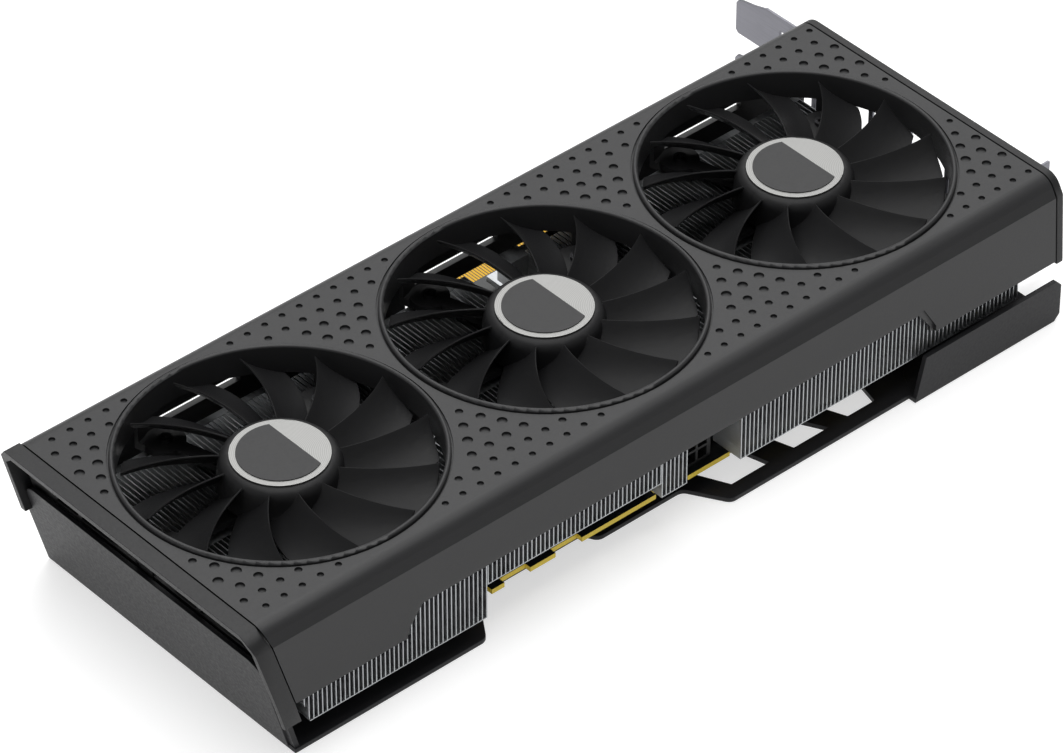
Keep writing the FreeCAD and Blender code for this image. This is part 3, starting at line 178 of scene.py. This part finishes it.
def finish(name, code, roughness, metallic=0.0, grain=0.4, depth=0.004, stretch=(1, 1, 1), tone=0.06,
           gloss=0.07, shine=0.5):
    """One surface: broad clouds of tone, and a fine grain that moves its gloss and its relief. Grain and depth
    are in mm; stretch draws the grain out along an axis; tone and gloss say how far each strays."""
    material, tree, shader = blank(name)
    place = node(tree, "ShaderNodeTexCoord")
    drawn = node(tree, "ShaderNodeMapping", {"Vector": place.outputs["Object"]}, Scale=stretch)
    clouds = node(tree, "ShaderNodeTexNoise", {"Vector": place.outputs["Object"]},
                  Scale=1 / (CLOUD_SIZE * MM), Detail=3)
    fine = node(tree, "ShaderNodeTexNoise", {"Vector": drawn.outputs["Vector"]},
                Scale=1 / (grain * MM), Detail=2)
    both = node(tree, "ShaderNodeMath", {0: clouds.outputs[0], 1: fine.outputs[0]}, operation="ADD")
    ramp = node(tree, "ShaderNodeValToRGB", {"Fac": both.outputs[0]})
    base = colour(code)
    for stop, position, factor in zip(ramp.color_ramp.elements, (0.75, 1.0), (1 - tone, 1 + tone)):
        stop.position = position
        stop.color = [min(1, part * factor) for part in base[:3]] + [1]
    spread = node(tree, "ShaderNodeMapRange", {"Value": fine.outputs[0]}, From_Min=0.3, From_Max=0.7,
                  To_Min=roughness - gloss, To_Max=roughness + gloss)
    relief = node(tree, "ShaderNodeBump", {"Height": fine.outputs[0]}, Distance=depth * MM)
    tree.links.new(ramp.outputs["Color"], shader.inputs["Base Color"])
    tree.links.new(spread.outputs[0], shader.inputs["Roughness"])
    tree.links.new(relief.outputs["Normal"], shader.inputs["Normal"])
    shader.inputs["Metallic"].default_value = metallic
    shader.inputs["Specular IOR Level"].default_value = shine
    return material


def satin_abs():
    """ABS from a spark-eroded mould, with a satin coat: a soft even sheen over a very fine orange-peel grain.
    The real grain is about 0.1 mm; it is drawn at 0.45 mm so that it shows."""
    return finish("satin coated ABS", "202021", 0.42, grain=0.45, depth=0.012, tone=0.05, gloss=0.06,
                  shine=0.32)


def trim_abs():
    """The same ABS without the coat: a shade darker, its grain a little coarser."""
    return finish("grained ABS trim", "19191a", 0.46, grain=0.6, depth=0.016, tone=0.05, gloss=0.06,
                  shine=0.28)


def black_abs(name="black ABS", roughness=0.5):
    """Black moulded ABS: deep tone, dull gloss, faint flow clouds."""
    return finish(name, "141415", roughness, grain=0.7, depth=0.012, tone=0.12, gloss=0.06)


def rotor_pbt():
    """Glass-filled PBT, injection moulded: dark and nearly matt, with tiny fibre streaks."""
    return finish("glass-filled PBT", "121213", 0.5, grain=0.35, depth=0.008, stretch=(1, 1, 2.5),
                  tone=0.1, gloss=0.07, shine=0.2)


def spun_aluminium(fan):
    """Turned and anodised aluminium: rings of tool marks round the hub make a soft glint. They are finer on
    the real one, and drawn 0.5 mm apart so that they show."""
    low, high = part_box(f"fan_{fan}_badge_ring")
    material, tree, shader = blank(f"turned aluminium, {fan} fan")
    place = node(tree, "ShaderNodeTexCoord")
    middle = node(tree, "ShaderNodeMapping", {"Vector": place.outputs["Object"]},
                  Location=(-(low[0] + high[0]) / 2, -(low[1] + high[1]) / 2, 0))
    turned = node(tree, "ShaderNodeTexWave", {"Vector": middle.outputs["Vector"]}, wave_type="RINGS",
                  rings_direction="Z", Scale=math.tau / (WAVE_TURN * 0.5 * MM), Distortion=0.6, Detail=2)
    ramp = node(tree, "ShaderNodeValToRGB", {"Fac": turned.outputs["Fac"]})
    ramp.color_ramp.elements[0].color = colour("7e7e7d")
    ramp.color_ramp.elements[1].color = colour("929290")
    relief = node(tree, "ShaderNodeBump", {"Height": turned.outputs["Fac"]}, Distance=0.004 * MM)
    tree.links.new(ramp.outputs["Color"], shader.inputs["Base Color"])
    tree.links.new(relief.outputs["Normal"], shader.inputs["Normal"])
    shader.inputs["Metallic"].default_value = 1
    shader.inputs["Roughness"].default_value = 0.42
    return material


def disc_paint():
    """Grey enamel on the hub's disc: smooth, with a gentle haze."""
    return finish("grey enamel", "1c1c1d", 0.4, grain=0.9, depth=0.006, tone=0.04, gloss=0.05, shine=0.3)


def rolled_aluminium():
    """Rolled fin sheet, mill finish: streaks along the fin, a cool grey with a soft gloss."""
    return finish("mill-finish aluminium", "a8aaac", 0.46, 1, grain=0.5, depth=0.006, stretch=(1, 0.06, 1),
                  tone=0.12, gloss=0.1)


def zinc_steel():
    """Bright zinc on pressed steel: small crystal clouds and a middling gloss."""
    return finish("zinc-plated steel", "a6a6a6", 0.34, 1, grain=1.1, depth=0.004, tone=0.08, gloss=0.08)


def nickel(name, code):
    """Nickel plating over copper or brass: warm and smooth, with slow waves from the drawing die."""
    return finish(name, code, 0.28, 1, grain=1.6, depth=0.006, stretch=(0.2, 1, 1), tone=0.06, gloss=0.06)


def bracket_plate():
    """Rolled steel strip with nickel plate, brushed along the slots: long streaks 0.5 mm wide."""
    return finish("brushed nickel-plated steel", "74747a", 0.4, 1, grain=0.5, depth=0.006,
                  stretch=(1, 0.04, 1), tone=0.1, gloss=0.1)


def powder_coat():
    """Black powder coat on folded steel: a low sheen over the ripples that the powder melts into, 0.9 mm
    apart."""
    return finish("black powder coat", "1a1a1c", 0.48, grain=0.9, depth=0.03, tone=0.08, gloss=0.06,
                  shine=0.24)


def board_stack():
    """Glass-epoxy laminate: gloss black solder mask on its faces, and on its routed edges the bare yellow
    epoxy with the dark lines of its inner copper, drawn 0.4 mm apart."""
    material, tree, shader = blank("solder-masked glass epoxy")
    place = node(tree, "ShaderNodeTexCoord")
    facing = node(tree, "ShaderNodeNewGeometry")
    parts = node(tree, "ShaderNodeSeparateXYZ", {0: facing.outputs["True Normal"]})
    steep = node(tree, "ShaderNodeMath", {0: parts.outputs["Z"]}, operation="ABSOLUTE")
    edge = node(tree, "ShaderNodeMath", {0: steep.outputs[0]}, operation="LESS_THAN")
    edge.inputs[1].default_value = 0.5
    layers = node(tree, "ShaderNodeTexWave", {"Vector": place.outputs["Object"]}, bands_direction="Z",
                  Scale=math.tau / (WAVE_TURN * 0.4 * MM), Distortion=0.4)
    weave = node(tree, "ShaderNodeTexNoise", {"Vector": place.outputs["Object"]},
                 Scale=1 / (0.8 * MM), Detail=3)
    epoxy = node(tree, "ShaderNodeValToRGB", {"Fac": layers.outputs["Fac"]})
    epoxy.color_ramp.elements[0].color = colour("b09a24")
    epoxy.color_ramp.elements[1].color = colour("ecd048")
    mask = node(tree, "ShaderNodeValToRGB", {"Fac": weave.outputs[0]})
    mask.color_ramp.elements[0].color = colour("101212")
    mask.color_ramp.elements[1].color = colour("1c2020")
    mixed = node(tree, "ShaderNodeMix", data_type="RGBA")
    tree.links.new(edge.outputs[0], mixed.inputs[0])
    tree.links.new(mask.outputs["Color"], mixed.inputs[6])
    tree.links.new(epoxy.outputs["Color"], mixed.inputs[7])
    spread = node(tree, "ShaderNodeMapRange", {"Value": edge.outputs[0]}, To_Min=0.32, To_Max=0.6)
    relief = node(tree, "ShaderNodeBump", {"Height": weave.outputs[0]}, Distance=0.006 * MM)
    tree.links.new(mixed.outputs[2], shader.inputs["Base Color"])
    tree.links.new(spread.outputs[0], shader.inputs["Roughness"])
    tree.links.new(relief.outputs["Normal"], shader.inputs["Normal"])
    return material


def hard_gold():
    """Hard gold over nickel on the contacts: deep yellow, lightly scuffed along the way that they slide."""
    return finish("hard gold plating", "a8842c", 0.36, 1, grain=0.5, depth=0.003, stretch=(1, 0.1, 1),
                  tone=0.08, gloss=0.1)


def chip_epoxy():
    """Moulded chip epoxy: charcoal, matt, with the peppery grain of its silica."""
    return finish("moulded epoxy", "1b1b1c", 0.55, grain=0.3, depth=0.01, tone=0.14, gloss=0.08)


def substrate():
    """The chip's green carrier: solder mask over a fine weave."""
    return finish("green package laminate", "2c4c38", 0.42, grain=0.8, depth=0.01, tone=0.12)


def polished_silicon():
    """The back of a polished die: near-black, mirror-like with a violet cast."""
    return finish("polished silicon", "34343e", 0.08, 0.4, grain=3, depth=0.0005, tone=0.05, gloss=0.03)


def silicone_pad():
    """Filled silicone: grey-blue, soft-looking, pitted where its liner was peeled off."""
    return finish("filled silicone", "8c98a4", 0.75, grain=1.2, depth=0.06, tone=0.08, gloss=0.1)


def pressed_ferrite(name, code):
    """Pressed and sintered powder: dull grey, with fine pores."""
    return finish(name, code, 0.62, 0.2, grain=0.4, depth=0.02, tone=0.12, gloss=0.1)


def drawn_can():
    """Drawn aluminium can: bright, with fine upright draw lines."""
    return finish("drawn aluminium can", "c0c0c0", 0.26, 1, grain=0.4, depth=0.004, stretch=(1, 1, 0.06))


def socket_nylon():
    """Heat-proof nylon of a power socket: black, waxy and slightly uneven."""
    return finish("heat-proof nylon", "0f0f10", 0.48, grain=1.4, depth=0.02, tone=0.15, gloss=0.06)


def sintered_bronze():
    """Oil-filled sintered bronze: brown-gold, dull, with open pores."""
    return finish("sintered bronze", "a0783c", 0.5, 1, grain=0.25, depth=0.012, tone=0.12, gloss=0.1)


def wound_copper():
    """Enamelled copper wire on the motor's poles: 0.35 mm turns lie side by side, orange-brown and glossy."""
    material, tree, shader = blank("enamelled copper wire")
    place = node(tree, "ShaderNodeTexCoord")
    turns = node(tree, "ShaderNodeTexWave", {"Vector": place.outputs["Object"]}, bands_direction="Z",
                 Scale=math.tau / (WAVE_TURN * 0.35 * MM), Distortion=0.3)
    ramp = node(tree, "ShaderNodeValToRGB", {"Fac": turns.outputs["Fac"]})
    ramp.color_ramp.elements[0].color = colour("6a3418")
    ramp.color_ramp.elements[1].color = colour("c87a44")
    relief = node(tree, "ShaderNodeBump", {"Height": turns.outputs["Fac"]}, Distance=0.08 * MM)
    tree.links.new(ramp.outputs["Color"], shader.inputs["Base Color"])
    tree.links.new(relief.outputs["Normal"], shader.inputs["Normal"])
    shader.inputs["Metallic"].default_value = 0.8
    shader.inputs["Roughness"].default_value = 0.32
    return material


def black_oxide():
    """Black-oxide screw steel: dark grey with worn, brighter clouds."""
    return finish("black-oxide steel", "505052", 0.38, 1, grain=0.8, depth=0.006, tone=0.2, gloss=0.1)


def paint():
    """Give every node the finish of its slot, and each fan's ring its own, centred on its hub."""
    zinc = zinc_steel()
    made = {
        "cover_plastic": satin_abs(), "trim_plastic": trim_abs(), "frame_plastic": black_abs(),
        "rotor_plastic": rotor_pbt(), "badge_silver": zinc, "badge_grey": disc_paint(),
        "motor_steel": zinc, "magnet_ferrite": pressed_ferrite("magnet ferrite", "2a2a2c"),
        "bearing_brass": sintered_bronze(), "winding_copper": wound_copper(),
        "fin_aluminium": rolled_aluminium(), "nickel_pipe": nickel("nickel-plated copper pipe", "b0aca6"),
        "cold_plate_metal": nickel("nickel-plated copper plate", "b6b0a8"), "board_laminate": board_stack(),
        "contact_gold": hard_gold(), "chip_resin": chip_epoxy(), "package_substrate": substrate(),
        "die_silicon": polished_silicon(), "pad_silicone": silicone_pad(),
        "ferrite_block": pressed_ferrite("inductor ferrite", "444446"), "capacitor_can": drawn_can(),
        "socket_nylon": socket_nylon(), "socket_steel": zinc, "bracket_steel": bracket_plate(),
        "backplate_paint": powder_coat(), "screw_steel": black_oxide(),
        "mount_plastic": black_abs("black ABS arms", 0.46),
    }
    for entry in frame["record"]["subparts"]:
        piece = frame["nodes"][entry["node"]]
        piece.data.materials.clear()
        piece.data.materials.append(made[entry["material_slot"]])
    for fan in FANS:
        frame["nodes"][f"fan_{fan}_badge_ring"].data.materials[0] = spun_aluminium(fan)


# ------------------------------------------------------------------ edges and curves

# Corners over SHARP degrees are broken, and those under SMOOTH degrees are shaded as one curve.
SHARP, SMOOTH = 52, 42
BROKEN_EDGES = {"tail_band": 0.2, "bracket_end_cap": 0.2, "tail_vent_frame": 0.15,
                "backplate": 0.15, "io_bracket": 0.12}
BROKEN_EDGES.update({f"fan_{fan}_impeller": 0.12 for fan in FANS})
BROKEN_EDGES.update({f"fan_{fan}_badge_ring": 0.1 for fan in FANS})

def break_edges(name, width):
    """A copy of a CAD node that stands for it: its seams merged, its sharp corners broken by width mm, its
    curves smooth, and nothing proud of the node's box. It keeps the node's finish and its body."""
    source = frame["nodes"][name]
    bpy.ops.object.select_all(action="DESELECT")
    piece = bpy.data.objects.new(name + "_finished", source.data.copy())
    SCENE.collection.objects.link(piece)
    bpy.context.view_layer.objects.active = piece
    piece.select_set(True)
    bpy.ops.object.mode_set(mode="EDIT")
    bpy.ops.mesh.select_all(action="SELECT")
    bpy.ops.mesh.remove_doubles(threshold=0.002 * MM)
    bpy.ops.object.mode_set(mode="OBJECT")
    corner = piece.modifiers.new("broken edges", "BEVEL")
    corner.width = width * MM
    corner.segments = 2
    corner.angle_limit = math.radians(SHARP)
    corner.use_clamp_overlap = False
    bpy.ops.object.modifier_apply(modifier=corner.name)
    low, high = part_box(name)
    for vertex in piece.data.vertices:
        vertex.co = [min(max(at, least), most) for at, least, most in zip(vertex.co, low, high)]
    bpy.ops.object.shade_smooth_by_angle(angle=math.radians(SMOOTH))
    flat = piece.modifiers.new("flat faces", "WEIGHTED_NORMAL")
    flat.weight = 100
    flat.keep_sharp = True
    bpy.ops.object.modifier_apply(modifier=flat.name)
    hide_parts(name)
    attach(piece, BODY_OF[name])


add_camera()
add_studio()
add_floor()
paint()
for part, width in BROKEN_EDGES.items():
    break_edges(part, width)
